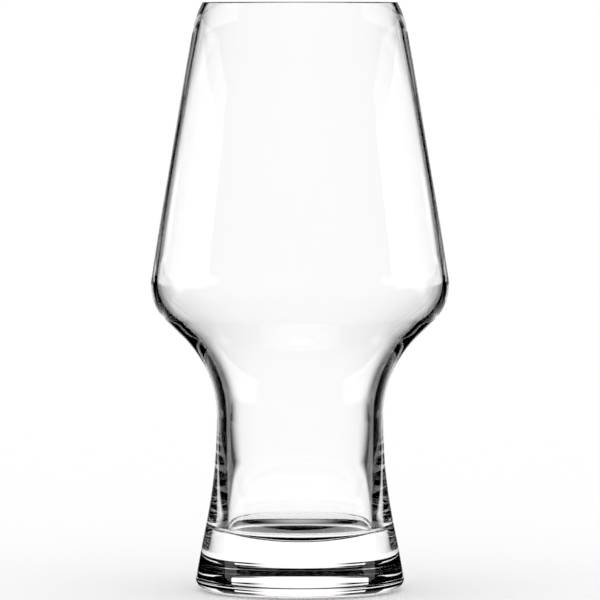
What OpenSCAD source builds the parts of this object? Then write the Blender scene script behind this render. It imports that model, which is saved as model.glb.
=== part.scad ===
// Waisted beer tumbler: a tall bowl that tapers in to the rim, a sloping shoulder, a narrow waist
// and a heavy flared foot, blown as one piece of clear glass.
// Millimetres, +Z up. The origin is on the table, on the axis of the glass.

/* [Overall] */
// Height from the table to the top of the rim
height = 180; // [150:1:220]
// Outside diameter across the rim
rim_d = 60; // [52:0.5:72]
// Outside diameter at the shoulder, where the bowl is widest
bowl_d = 91.5; // [80:0.5:110]
// Outside diameter at the waist, where the glass is narrowest
waist_d = 51.2; // [42:0.2:60]
// Outside diameter of the foot
foot_d = 64; // [58:0.5:78]

/* [Heights] */
// Height of the widest place of the shoulder
shoulder_h = 93.4; // [84:0.2:110]
// Height of the narrowest place of the waist
waist_h = 52.8; // [44:0.2:60]
// Height of the well's floor above the table, which sets how much glass the foot holds
floor_h = 13.6; // [8:0.2:22]
// How far above the waist the well begins to open into the bowl
well_rise = 0.5; // [0:0.5:4]
// How far above the outside the inside of the shoulder is widest
shoulder_in_rise = 0.8; // [0:0.2:2]

/* [Curves] */
// Radius of the shallow curve of the bowl's outside, from the shoulder up to the rim
bowl_curve_r = 3000; // [600:100:4000]
// Radius of the shallow curve of the bowl's inside
bowl_in_curve_r = 860; // [600:20:4000]
// Radius of the curve that brings the outside of the bowl in below the rim
rim_curve_r = 30; // [15:1:60]
// How far the outside leans in where it meets the lip, in degrees
rim_lean = 28; // [22:1:36]
// Radius of the outside curve round the shoulder
shoulder_r = 14.8; // [12:0.1:18]
// Radius of the inside curve round the shoulder
shoulder_in_r = 13.8; // [11:0.1:16]
// Straight length of the slope from the waist up to the shoulder
slope_run = 7.5; // [2:0.1:12]
// Straight length of the flare from the waist down to the foot
flare_run = 17; // [4:0.5:20]
// Radius of the lower edge of the foot
heel_r = 3.7; // [2:0.1:6]
// Radius of the shallow dish of the well's floor
floor_curve_r = 60; // [40:5:500]
// Radius of the corner between the well's wall and its floor
well_corner_r = 1.6; // [1:0.2:6]

/* [Glass] */
// Thickness of the wall at the rim, which the lip rounds over
rim_wall = 0.9; // [0.8:0.1:2]
// Thickness of the wall at the shoulder
shoulder_wall = 1.8; // [1.2:0.1:3]
// Thickness of the wall at the waist
waist_wall = 3; // [2:0.1:5]

/* [Underside] */
// Width of the flat ring that the glass stands on
ring_w = 2.6; // [1.5:0.1:5]
// Depth of the hollow inside that ring
punt_depth = 1.6; // [0.5:0.1:4]

/* [Hidden] */

// Largest turn between two points of an arc, in degrees, and the largest distance
arc_step = 3;
arc_run = 8;
$fn = 96;

// Radii of the outside, and of the hollow that the walls leave
bowl_r = bowl_d / 2;
waist_r = waist_d / 2;
foot_r = foot_d / 2;
bowl_in_r = bowl_r - shoulder_wall;
well_r = waist_r - waist_wall;
lip_r = rim_wall / 2;

// Where the well begins to open, and where the inside is widest
well_h = waist_h + well_rise;
shoulder_in_h = shoulder_h + shoulder_in_rise;

// Each flare is an S in three stretches: an arc leaves an upright wall, a straight run slopes outwards,
// and an arc of end_r brings the wall upright again. It moves out by out and up or down by rise.
// The first function gives the lean of its straight run, the second the radius of its first arc.
function flare_lean(out, rise, run) = 2 * atan(out / (rise + run));
function flare_radius(out, rise, run, end_r) =
    (rise - run * cos(flare_lean(out, rise, run))) / sin(flare_lean(out, rise, run)) - end_r;

foot_lean = flare_lean(foot_r - waist_r, waist_h - heel_r, flare_run);
foot_curve_r = flare_radius(foot_r - waist_r, waist_h - heel_r, flare_run, heel_r);
slope_lean = flare_lean(bowl_r - waist_r, shoulder_h - waist_h, slope_run);
slope_curve_r = flare_radius(bowl_r - waist_r, shoulder_h - waist_h, slope_run, shoulder_r);
well_lean = flare_lean(bowl_in_r - well_r, shoulder_in_h - well_h, slope_run);
well_curve_r = flare_radius(bowl_in_r - well_r, shoulder_in_h - well_h, slope_run, shoulder_in_r);

// Centres of the arcs, as [radius, height]
heel_c = [foot_r - heel_r, heel_r];
foot_curve_c = [waist_r + foot_curve_r, waist_h];
slope_curve_c = [waist_r + slope_curve_r, waist_h];
shoulder_c = [bowl_r - shoulder_r, shoulder_h];
lip_c = [rim_d / 2 - lip_r, height - lip_r];
rim_curve_c = lip_c - (rim_curve_r - lip_r) * [cos(rim_lean), sin(rim_lean)];
shoulder_in_c = [bowl_in_r - shoulder_in_r, shoulder_in_h];
well_curve_c = [well_r + well_curve_r, well_h];
floor_c = [0, floor_h + floor_curve_r];
well_corner_x = well_r - well_corner_r;
well_corner_drop = sqrt(pow(floor_curve_r - well_corner_r, 2) - pow(well_corner_x, 2));
well_corner_c = [well_corner_x, floor_c[1] - well_corner_drop];

// Centre of an arc that is c0_reach from c0 and c1_reach from c1, on the side towards the axis
function arc_centre(c0, c0_reach, c1, c1_reach) =
    let (span = c1 - c0)
    let (along = (span * span + pow(c0_reach, 2) - pow(c1_reach, 2)) / (2 * norm(span)))
    let (aside = sqrt(pow(c0_reach, 2) - pow(along, 2)))
    c0 + (along * span + aside * [-span[1], span[0]]) / norm(span);

// Angle at which c1 lies from c0
function angle_to(c0, c1) = atan2(c1[1] - c0[1], c1[0] - c0[0]);

// The outside of the bowl runs from the shoulder to the curve below the rim, and the inside to the lip
bowl_c = arc_centre(shoulder_c, bowl_curve_r - shoulder_r, rim_curve_c, bowl_curve_r - rim_curve_r);
bowl_from = angle_to(bowl_c, shoulder_c);
bowl_to = angle_to(bowl_c, rim_curve_c);
bowl_in_c = arc_centre(shoulder_in_c, bowl_in_curve_r - shoulder_in_r, lip_c, bowl_in_curve_r + lip_r);
bowl_in_from = angle_to(bowl_in_c, shoulder_in_c);
bowl_in_to = angle_to(bowl_in_c, lip_c);

// The corner of the well carries on from the dish of its floor
floor_turn = angle_to(floor_c, well_corner_c);

// The hollow underneath is part of a ball
punt_r = foot_r - heel_r - ring_w;
punt_ball_r = (pow(punt_r, 2) + pow(punt_depth, 2)) / (2 * punt_depth);
punt_angle = asin(punt_r / punt_ball_r);

// Points of an arc about c, from one angle to another
function arc(c, r, from, to) =
    let (turn = abs(to - from))
    let (steps = ceil(max(turn / arc_step, turn * PI / 180 * r / arc_run)))
    [for (i = [0:steps]) let (a = from + (to - from) * i / steps) c + r * [cos(a), sin(a)]];

// The same points without the first, for an arc that carries on from another
function arc_onwards(c, r, from, to) =
    let (points = arc(c, r, from, to))
    [for (i = [1:len(points) - 1]) points[i]];

// Outline of the underside, from the axis out to the flat ring
function underside() = arc([0, punt_depth - punt_ball_r], punt_ball_r, 90, 90 - punt_angle);

// Outline of the outside, from the flat ring up to the lip
function outside() = concat(
    arc(heel_c, heel_r, -90, foot_lean),
    arc(foot_curve_c, foot_curve_r, 180 + foot_lean, 180),
    arc_onwards(slope_curve_c, slope_curve_r, 180, 180 - slope_lean),
    arc(shoulder_c, shoulder_r, -slope_lean, bowl_from),
    arc_onwards(bowl_c, bowl_curve_r, bowl_from, bowl_to),
    arc_onwards(rim_curve_c, rim_curve_r, bowl_to, rim_lean));

// Outline of the lip, over the top from the outside to the inside
function lip() = arc_onwards(lip_c, lip_r, rim_lean, 180 + bowl_in_to);

// Outline of the hollow, from the bowl down to the middle of the well's floor
function inside() = concat(
    arc_onwards(bowl_in_c, bowl_in_curve_r, bowl_in_to, bowl_in_from),
    arc_onwards(shoulder_in_c, shoulder_in_r, bowl_in_from, -well_lean),
    arc(well_curve_c, well_curve_r, 180 - well_lean, 180),
    arc(well_corner_c, well_corner_r, 0, floor_turn),
    arc_onwards(floor_c, floor_curve_r, floor_turn, -90));

module tumbler() {
    color([0.92, 0.95, 0.95, 0.35])
        rotate_extrude()
            polygon(concat(underside(), outside(), lip(), inside()));
}

tumbler();
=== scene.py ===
from math import asin, atan, atan2, ceil, cos, hypot, pi, radians, sin, tau

import bpy
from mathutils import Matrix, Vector


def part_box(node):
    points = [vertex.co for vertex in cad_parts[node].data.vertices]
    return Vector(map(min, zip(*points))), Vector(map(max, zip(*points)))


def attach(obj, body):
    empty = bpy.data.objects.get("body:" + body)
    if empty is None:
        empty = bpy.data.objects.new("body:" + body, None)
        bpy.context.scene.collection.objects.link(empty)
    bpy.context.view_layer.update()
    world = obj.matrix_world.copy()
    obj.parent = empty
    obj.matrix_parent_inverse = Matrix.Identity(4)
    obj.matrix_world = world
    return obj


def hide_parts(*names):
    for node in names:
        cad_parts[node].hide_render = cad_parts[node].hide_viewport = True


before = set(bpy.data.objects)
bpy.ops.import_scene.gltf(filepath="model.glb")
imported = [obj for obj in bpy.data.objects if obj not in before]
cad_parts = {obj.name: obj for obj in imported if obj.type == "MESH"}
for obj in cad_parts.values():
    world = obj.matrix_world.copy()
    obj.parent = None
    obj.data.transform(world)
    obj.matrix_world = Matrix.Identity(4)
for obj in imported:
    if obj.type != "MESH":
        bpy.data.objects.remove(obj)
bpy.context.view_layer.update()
print("frame: loaded", sorted(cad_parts))

# Sizes of the glass in millimetres; its height comes from the frame
mm = 0.001
nodeLow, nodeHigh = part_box("tumbler")
glass = {
    "height": (nodeHigh.z - nodeLow.z) / mm,
    "rimD": 60,            # outside, across the lip
    "bowlD": 91.5,         # outside, at the shoulder
    "waistD": 51.2,
    "footD": 64,
    "shoulderH": 93.4,
    "waistH": 52.8,
    "floorH": 13.6,        # floor of the well above the table
    "wellRise": 0.5,       # the well opens this far above the waist
    "shoulderInRise": 0.8, # and is widest this far above the outside
    "bowlCurveR": 3000,    # the bowl's wall is very slightly barrelled, more so inside
    "bowlInCurveR": 860,
    "rimCurveR": 30,       # the wall bends in below the lip
    "rimLean": radians(28),
    "shoulderR": 14.8,
    "shoulderInR": 13.8,
    "slopeRun": 7.5,       # straight stretch between waist and shoulder
    "flareRun": 17,        # straight stretch between waist and foot
    "heelR": 3.7,
    "floorCurveR": 60,     # the well's floor is slightly dished
    "wellCornerR": 1.6,
    "rimWall": 0.9,
    "shoulderWall": 1.8,
    "waistWall": 3,
    "ringW": 2.6,          # flat ring that it stands on
    "puntDepth": 1.6,      # hollow inside that ring
    "arcTurn": radians(3), # most that an arc turns between two points
    "step": 1.2,           # longest stretch between two points
    "seam": 0.001,         # points closer than this are one
    "segments": 192,       # round the axis
}


# An S of two arcs with a straight run between them: the lean of the run, and the radius of the first arc
def flareLean(out, rise, run):
    return 2 * atan(out / (rise + run))


def flareRadius(out, rise, run, endR):
    lean = flareLean(out, rise, run)
    return (rise - run * cos(lean)) / sin(lean) - endR


# Centre of an arc at two given distances from two points, on the axis side of the line between them
def arcCentre(first, firstReach, second, secondReach):
    acrossR, acrossZ = second[0] - first[0], second[1] - first[1]
    apart = hypot(acrossR, acrossZ)
    along = (apart ** 2 + firstReach ** 2 - secondReach ** 2) / (2 * apart)
    aside = (firstReach ** 2 - along ** 2) ** 0.5
    return (first[0] + (along * acrossR - aside * acrossZ) / apart,
            first[1] + (along * acrossZ + aside * acrossR) / apart)


def angleTo(centre, point):
    return atan2(point[1] - centre[1], point[0] - centre[0])


def arcPoints(centre, radius, fromAngle, toAngle):
    turn = toAngle - fromAngle
    count = ceil(max(abs(turn) / glass["arcTurn"], abs(turn) * radius / glass["step"], 1))
    angles = [fromAngle + turn * i / count for i in range(count + 1)]
    return [(centre[0] + radius * cos(a), centre[1] + radius * sin(a)) for a in angles]


# Stretches in order; straight lines between them are cut up, so that smooth shading stays true to the wall
def joinStretches(stretches):
    points = [stretches[0][0]]
    for stretch in stretches:
        for point in stretch:
            last = points[-1]
            acrossR, acrossZ = point[0] - last[0], point[1] - last[1]
            count = ceil((hypot(acrossR, acrossZ) - glass["seam"]) / glass["step"])
            for i in range(1, count + 1):
                points.append((last[0] + acrossR * i / count, last[1] + acrossZ * i / count))
    return points


# Pairs of radius and height, from the middle of the well's floor up the inside, over the lip
# and down the outside to the middle of the underside
def glassOutline(g):
    bowlR, waistR, footR = g["bowlD"] / 2, g["waistD"] / 2, g["footD"] / 2
    bowlInR, wellR, lipR = bowlR - g["shoulderWall"], waistR - g["waistWall"], g["rimWall"] / 2
    shoulderInR, shoulderInH = g["shoulderInR"], g["shoulderH"] + g["shoulderInRise"]
    wellH = g["waistH"] + g["wellRise"]

    footDrop, slopeRise = g["waistH"] - g["heelR"], g["shoulderH"] - g["waistH"]
    wellOpen = shoulderInH - wellH
    footLean = flareLean(footR - waistR, footDrop, g["flareRun"])
    footCurveR = flareRadius(footR - waistR, footDrop, g["flareRun"], g["heelR"])
    slopeLean = flareLean(bowlR - waistR, slopeRise, g["slopeRun"])
    slopeCurveR = flareRadius(bowlR - waistR, slopeRise, g["slopeRun"], g["shoulderR"])
    wellLean = flareLean(bowlInR - wellR, wellOpen, g["slopeRun"])
    wellCurveR = flareRadius(bowlInR - wellR, wellOpen, g["slopeRun"], shoulderInR)

    shoulderC = (bowlR - g["shoulderR"], g["shoulderH"])
    shoulderInC = (bowlInR - shoulderInR, shoulderInH)
    lipC = (g["rimD"] / 2 - lipR, g["height"] - lipR)
    rimBend = g["rimCurveR"] - lipR
    rimCurveC = (lipC[0] - rimBend * cos(g["rimLean"]), lipC[1] - rimBend * sin(g["rimLean"]))
    bowlC = arcCentre(shoulderC, g["bowlCurveR"] - g["shoulderR"],
                      rimCurveC, g["bowlCurveR"] - g["rimCurveR"])
    bowlFrom, bowlTo = angleTo(bowlC, shoulderC), angleTo(bowlC, rimCurveC)
    bowlInC = arcCentre(shoulderInC, g["bowlInCurveR"] - shoulderInR, lipC, g["bowlInCurveR"] + lipR)
    bowlInFrom, bowlInTo = angleTo(bowlInC, shoulderInC), angleTo(bowlInC, lipC)

    puntR = footR - g["heelR"] - g["ringW"]
    puntBallR = (puntR ** 2 + g["puntDepth"] ** 2) / (2 * g["puntDepth"])
    puntAngle = asin(puntR / puntBallR)
    floorC = (0, g["floorH"] + g["floorCurveR"])
    cornerR, cornerOut = g["wellCornerR"], wellR - g["wellCornerR"]
    cornerC = (cornerOut, floorC[1] - ((g["floorCurveR"] - cornerR) ** 2 - cornerOut ** 2) ** 0.5)
    floorTurn = angleTo(floorC, cornerC)
    return joinStretches([
        arcPoints(floorC, g["floorCurveR"], -pi / 2, floorTurn),
        arcPoints(cornerC, cornerR, floorTurn, 0),
        arcPoints((wellR + wellCurveR, wellH), wellCurveR, pi, pi - wellLean),
        arcPoints(shoulderInC, shoulderInR, -wellLean, bowlInFrom),
        arcPoints(bowlInC, g["bowlInCurveR"], bowlInFrom, bowlInTo),
        arcPoints(lipC, lipR, pi + bowlInTo, g["rimLean"]),
        arcPoints(rimCurveC, g["rimCurveR"], g["rimLean"], bowlTo),
        arcPoints(bowlC, g["bowlCurveR"], bowlTo, bowlFrom),
        arcPoints(shoulderC, g["shoulderR"], bowlFrom, -slopeLean),
        arcPoints((waistR + slopeCurveR, g["waistH"]), slopeCurveR, pi - slopeLean, pi),
        arcPoints((waistR + footCurveR, g["waistH"]), footCurveR, pi, pi + footLean),
        arcPoints((footR - g["heelR"], g["heelR"]), g["heelR"], footLean, -pi / 2),
        arcPoints((0, g["puntDepth"] - puntBallR), puntBallR, pi / 2 - puntAngle, pi / 2),
    ])


def addNode(tree, kind, **settings):
    node = tree.nodes.new(kind)
    for name, value in settings.items():
        setattr(node, name, value)
    return node


def addMath(tree, operation, first, second=None):
    node = addNode(tree, "ShaderNodeMath", operation=operation)
    for socket, value in zip(node.inputs, (first, second)):
        if isinstance(value, bpy.types.NodeSocket):
            tree.links.new(value, socket)
        elif value is not None:
            socket.default_value = value
    return node.outputs[0]


# A lathe: each row of a grid takes the radius and height of one outline point,
# and each column a turn about the axis
def makeLathe():
    tree = bpy.data.node_groups.new("glassLathe", "GeometryNodeTree")
    ids = {}
    for name, kind in (("Outline", "Geometry"), ("Outline Points", "Int"), ("Segments", "Int"),
                       ("Seam", "Float"), ("Finish", "Material")):
        socket = tree.interface.new_socket(name, in_out="INPUT", socket_type="NodeSocket" + kind)
        ids[name] = socket.identifier
    tree.interface.new_socket("Glass", in_out="OUTPUT", socket_type="NodeSocketGeometry")
    link = tree.links.new
    given = addNode(tree, "NodeGroupInput").outputs

    grid = addNode(tree, "GeometryNodeMeshGrid")
    columns = addMath(tree, "ADD", given["Segments"], 1)
    link(given["Outline Points"], grid.inputs["Vertices X"])
    link(columns, grid.inputs["Vertices Y"])
    uvMap = addNode(tree, "GeometryNodeStoreNamedAttribute", data_type="FLOAT2", domain="CORNER")
    uvMap.inputs["Name"].default_value = "UVMap"
    link(grid.outputs["Mesh"], uvMap.inputs["Geometry"])
    link(grid.outputs["UV Map"], uvMap.inputs["Value"])

    index = addNode(tree, "GeometryNodeInputIndex").outputs[0]
    midPoint = addMath(tree, "ADD", index, 0.5)    # so that rounding can't drop a point into the row before
    row = addMath(tree, "FLOOR", addMath(tree, "DIVIDE", midPoint, columns))
    column = addMath(tree, "SUBTRACT", index, addMath(tree, "MULTIPLY", row, columns))
    angle = addMath(tree, "MULTIPLY", addMath(tree, "DIVIDE", column, given["Segments"]), tau)
    sample = addNode(tree, "GeometryNodeSampleIndex", data_type="FLOAT_VECTOR", domain="POINT")
    link(given["Outline"], sample.inputs["Geometry"])
    link(addNode(tree, "GeometryNodeInputPosition").outputs[0], sample.inputs["Value"])
    link(row, sample.inputs["Index"])
    outline = addNode(tree, "ShaderNodeSeparateXYZ")
    link(sample.outputs["Value"], outline.inputs[0])

    place = addNode(tree, "ShaderNodeCombineXYZ")
    link(addMath(tree, "MULTIPLY", outline.outputs["X"], addMath(tree, "COSINE", angle)), place.inputs["X"])
    link(addMath(tree, "MULTIPLY", outline.outputs["X"], addMath(tree, "SINE", angle)), place.inputs["Y"])
    link(outline.outputs["Z"], place.inputs["Z"])
    turned = addNode(tree, "GeometryNodeSetPosition")
    link(uvMap.outputs["Geometry"], turned.inputs["Geometry"])
    link(place.outputs[0], turned.inputs["Position"])

    closed = addNode(tree, "GeometryNodeMergeByDistance")    # seam and poles
    link(turned.outputs["Geometry"], closed.inputs["Geometry"])
    link(given["Seam"], closed.inputs["Distance"])
    smooth = addNode(tree, "GeometryNodeSetShadeSmooth")
    link(closed.outputs["Geometry"], smooth.inputs["Geometry"])
    real = addNode(tree, "GeometryNodeRealizeInstances")
    link(smooth.outputs["Geometry"], real.inputs["Geometry"])
    finished = addNode(tree, "GeometryNodeSetMaterial")
    link(real.outputs["Geometry"], finished.inputs["Geometry"])
    link(given["Finish"], finished.inputs["Material"])
    link(finished.outputs["Geometry"], addNode(tree, "NodeGroupOutput").inputs[0])
    return tree, ids


def makeTumbler(finish):
    points = glassOutline(glass)
    lines = [(i, i + 1) for i in range(len(points) - 1)]
    outline = bpy.data.meshes.new("outline")
    outline.from_pydata([(r * mm, 0, z * mm) for r, z in points], lines, [])
    piece = bpy.data.objects.new("beer_tumbler", outline)
    bpy.context.scene.collection.objects.link(piece)
    tree, ids = makeLathe()
    turning = piece.modifiers.new("lathe", "NODES")
    turning.node_group = tree
    for name, value in (("Outline Points", len(points)), ("Segments", glass["segments"]),
                        ("Seam", glass["seam"] * mm), ("Finish", finish)):
        turning[ids[name]] = value
    evaluated = piece.evaluated_get(bpy.context.evaluated_depsgraph_get())
    mesh = bpy.data.meshes.new_from_object(evaluated)
    piece.modifiers.remove(turning)
    piece.data = mesh
    mesh.name = piece.name
    bpy.data.meshes.remove(outline)
    print("tumbler:", len(points), "outline points,", len(mesh.polygons), "faces")
    return piece


def objectPlace(tree):
    place = addNode(tree, "ShaderNodeSeparateXYZ")
    tree.links.new(addNode(tree, "ShaderNodeTexCoord").outputs["Object"], place.inputs[0])
    return place.outputs


def fade(tree, value, fromMin, fromMax, toMin, toMax):
    ramp = addNode(tree, "ShaderNodeMapRange", interpolation_type="SMOOTHSTEP")
    tree.links.new(value, ramp.inputs["Value"])
    for name, number in (("From Min", fromMin), ("From Max", fromMax), ("To Min", toMin), ("To Max", toMax)):
        ramp.inputs[name].default_value = number
    return ramp.outputs[0]


def noise(tree, scale, detail):
    cloud = addNode(tree, "ShaderNodeTexNoise")
    cloud.inputs["Scale"].default_value = scale
    cloud.inputs["Detail"].default_value = detail
    tree.links.new(addNode(tree, "ShaderNodeTexCoord").outputs["Object"], cloud.inputs["Vector"])
    return cloud.outputs[0]


# Clear glass: faint waves left by the mould, and scuffs where the ring meets the table
glassFinish = {
    "tint": (0.995, 0.997, 0.996, 1),
    "ior": 1.52,
    "waves": 90,              # to a metre
    "waveDetail": 1,
    "waveDepth": 0.000003,
    "scuffs": 1500,           # to a metre
    "scuffDetail": 3,
    "scuffFrom": 0.5,         # noise at which a scuff starts, and at which it is full
    "scuffFull": 0.65,
    "scuffHeight": 0.0003,    # above the table
    "scuffRoughness": 0.35,
}


def makeGlass():
    f = glassFinish
    material = bpy.data.materials.new("clear_glass")
    material.use_nodes = True
    tree = material.node_tree
    shader = tree.nodes["Principled BSDF"]
    shader.inputs["Base Color"].default_value = f["tint"]
    shader.inputs["IOR"].default_value = f["ior"]
    shader.inputs["Transmission Weight"].default_value = 1
    bump = addNode(tree, "ShaderNodeBump")
    bump.inputs["Distance"].default_value = f["waveDepth"]
    tree.links.new(noise(tree, f["waves"], f["waveDetail"]), bump.inputs["Height"])
    tree.links.new(bump.outputs[0], shader.inputs["Normal"])
    cloud = noise(tree, f["scuffs"], f["scuffDetail"])
    marks = fade(tree, cloud, f["scuffFrom"], f["scuffFull"], 0, f["scuffRoughness"])
    low = fade(tree, objectPlace(tree)["Z"], f["scuffHeight"] / 2, f["scuffHeight"], 1, 0)
    tree.links.new(addMath(tree, "MULTIPLY", marks, low), shader.inputs["Roughness"])
    print("finish: clear glass")
    return material


# The studio: a white floor and sky, and round the glass the sheets that it alone sees,
# which give its walls their bright and dark bands; all else that it sees is dark
studio = {
    "floorHalf": 6,
    "floorDrop": 0.0003,      # keeps the floor just clear of the ring
    "sheetDrop": 0.0002,      # and the dark sheet clear of both
    "glow": 1.15,
}


def stageMesh(name, corners, faces, material):
    mesh = bpy.data.meshes.new(name)
    mesh.from_pydata(corners, [], faces)
    mesh.materials.append(material)
    sheet = bpy.data.objects.new(name, mesh)
    bpy.context.scene.collection.objects.link(sheet)
    return sheet


def glowMaterial(name, glow):
    material = bpy.data.materials.new(name)
    material.use_nodes = True
    tree = material.node_tree
    tree.nodes.clear()
    shine = addNode(tree, "ShaderNodeEmission")
    shine.inputs["Strength"].default_value = glow
    tree.links.new(shine.outputs[0], addNode(tree, "ShaderNodeOutputMaterial").inputs["Surface"])
    return material


def flatSheet(name, drop, material):
    half, z = studio["floorHalf"], -drop
    corners = [(-half, -half, z), (half, -half, z), (half, half, z), (-half, half, z)]
    return stageMesh(name, corners, [(0, 1, 2, 3)], material)


def makeFloor():
    white = bpy.data.materials.new("whiteFloor")
    white.use_nodes = True
    paint = white.node_tree.nodes["Principled BSDF"]
    paint.inputs["Base Color"].default_value = (1, 1, 1, 1)
    paint.inputs["Roughness"].default_value = 1
    paint.inputs["Specular IOR Level"].default_value = 0
    flatSheet("floor", studio["floorDrop"], white)


# White to the camera and to light on its way to the floor, dark to what the glass sees past its sheets
def makeWorld():
    world = bpy.data.worlds.new("studio")
    bpy.context.scene.world = world
    world.use_nodes = True
    world.cycles.sampling_method = "NONE"    # the sky differs by ray, so only rays that reach it count
    tree = world.node_tree
    rays = addNode(tree, "ShaderNodeLightPath").outputs
    offFloor = addMath(tree, "GREATER_THAN", rays["Diffuse Depth"], 0)
    sky = tree.nodes["Background"]
    sky.inputs["Color"].default_value = (1, 1, 1, 1)
    tree.links.new(addMath(tree, "MAXIMUM", rays["Is Camera Ray"], offFloor), sky.inputs["Strength"])


# A card behind the glass, which fades out towards both sides, and a low one nearer to the foot
backCard = {
    "y": 0.6,
    "full": 0.11,             # half width of the full glow
    "half": 0.22,
    "low": -studio["floorDrop"],
    "top": 0.22,
}
lowCard = {
    "y": 0.4,
    "half": 0.2,
    "low": 0.03,
    "top": 0.075,
}


def uprightCard(name, card, material):
    half, y, low, top = card["half"], card["y"], card["low"], card["top"]
    corners = [(-half, y, low), (half, y, low), (half, y, top), (-half, y, top)]
    return stageMesh(name, corners, [(0, 1, 2, 3)], material)


def cardMaterial():
    material = glowMaterial("glowCard", 1)
    tree = material.node_tree
    aside = addMath(tree, "ABSOLUTE", objectPlace(tree)["X"])
    glow = fade(tree, aside, backCard["full"], backCard["half"], studio["glow"], 0)
    tree.links.new(glow, tree.nodes["Emission"].inputs["Strength"])
    return material


# A bright panel on each side, at bowl height, seen past a dark gap, and a faint one higher up inside the gap
sidePanels = {
    "reach": 0.6,
    "from": radians(42),      # turned away from straight behind the glass
    "to": radians(105),
    "low": 0.1,
    "top": 0.3,
    "steps": 12,
}
upperPanels = {
    "reach": 0.6,
    "from": radians(15),
    "to": radians(28),
    "low": 0.205,
    "top": 0.29,
    "steps": 12,
    "glow": 0.42,
}


def bentPanels(name, panels, material):
    corners, faces = [], []
    for side in (-1, 1):
        for i in range(panels["steps"] + 1):
            turn = panels["from"] + (panels["to"] - panels["from"]) * i / panels["steps"]
            x, y = side * panels["reach"] * sin(turn), panels["reach"] * cos(turn)
            corners += [(x, y, panels["low"]), (x, y, panels["top"])]
            if i:
                k = len(corners) - 4
                faces.append((k, k + 1, k + 3, k + 2))
    return stageMesh(name, corners, faces, material)


# A dark sheet on the floor, with a bright strip that widens from the foot back to the card
# and a round bright patch under the foot
floorSheet = {
    "near": 0.064,            # half width of the strip near the glass, and at the card
    "far": 0.2,
    "start": 0.028,           # behind the axis
    "soft": 0.012,            # width of its soft edge near the glass
    "softFrom": 0.1,          # from here back the edge grows softer, by this much to a metre
    "softGrow": 0.3,
    "inside": 0.65,           # shares of the soft edge inside the half width and outside it
    "outside": 0.35,
    "underR": 0.03,
    "underSoft": 0.003,
    "underGlow": 1.1,
}


def sheetMaterial():
    s = floorSheet
    material = glowMaterial("floorSheet", 0)
    tree = material.node_tree
    place = objectPlace(tree)
    half = addMath(tree, "MULTIPLY", place["Y"], s["far"] / backCard["y"])
    half = addMath(tree, "MAXIMUM", half, s["near"])
    beyond = addMath(tree, "SUBTRACT", addMath(tree, "ABSOLUTE", place["X"]), half)
    soft = addMath(tree, "MULTIPLY", addMath(tree, "SUBTRACT", place["Y"], s["softFrom"]), s["softGrow"])
    beyond = addMath(tree, "DIVIDE", beyond, addMath(tree, "MAXIMUM", soft, s["soft"]))
    across = fade(tree, beyond, -s["inside"], s["outside"], 1, 0)
    behind = fade(tree, place["Y"], s["start"], s["start"] + s["soft"], 0, studio["glow"])
    strip = addMath(tree, "MULTIPLY", across, behind)
    squares = [addMath(tree, "MULTIPLY", place[axis], place[axis]) for axis in ("X", "Y")]
    reach = addMath(tree, "SQRT", addMath(tree, "ADD", *squares))
    under = fade(tree, reach, s["underR"], s["underR"] + s["underSoft"], s["underGlow"], 0)
    tree.links.new(addMath(tree, "MAXIMUM", strip, under), tree.nodes["Emission"].inputs["Strength"])
    return material


# The sheets ride on an empty that faces the camera, so that every view is lit alike
def makeSheets(camera):
    turntable = bpy.data.objects.new("turntable", None)
    bpy.context.scene.collection.objects.link(turntable)
    facing = turntable.constraints.new("LOCKED_TRACK")
    facing.target = camera
    facing.track_axis = "TRACK_NEGATIVE_Y"
    facing.lock_axis = "LOCK_Z"

    plain = glowMaterial("plainGlow", studio["glow"])
    faint = glowMaterial("faintGlow", upperPanels["glow"])
    for sheet in (uprightCard("glowCard", backCard, cardMaterial()),
                  uprightCard("lowCard", lowCard, plain),
                  bentPanels("sidePanels", sidePanels, plain),
                  bentPanels("upperPanels", upperPanels, faint),
                  flatSheet("floorSheet", studio["sheetDrop"], sheetMaterial())):
        sheet.parent = turntable
        sheet.visible_camera = False
        sheet.visible_diffuse = False
        sheet.visible_shadow = False


# Camera at the photograph's viewing angle; lens and sensor in millimetres
shot = {
    "distance": 1.75,
    "height": 0.187,
    "aim": 0.08885,
    "lens": 343.2,
    "sensor": 36,
}


def makeCamera():
    data = bpy.data.cameras.new("camera")
    camera = bpy.data.objects.new("camera", data)
    bpy.context.scene.collection.objects.link(camera)
    camera.location = (0, -shot["distance"], shot["height"])
    looking = Vector((0, 0, shot["aim"])) - camera.location
    camera.rotation_euler = looking.to_track_quat("-Z", "Y").to_euler()
    data.sensor_width = shot["sensor"]
    data.lens = shot["lens"]
    bpy.context.scene.camera = camera
    return camera


tumbler = makeTumbler(makeGlass())
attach(tumbler, "root")
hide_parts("tumbler")

makeWorld()
makeFloor()
makeSheets(makeCamera())
print("studio: floor, sky, sheets round the glass and camera")

scene = bpy.context.scene
scene.view_settings.view_transform = "Standard"
scene.cycles.max_bounces = 32             # long enough paths for thick glass
scene.cycles.transmission_bounces = 32
scene.cycles.glossy_bounces = 16
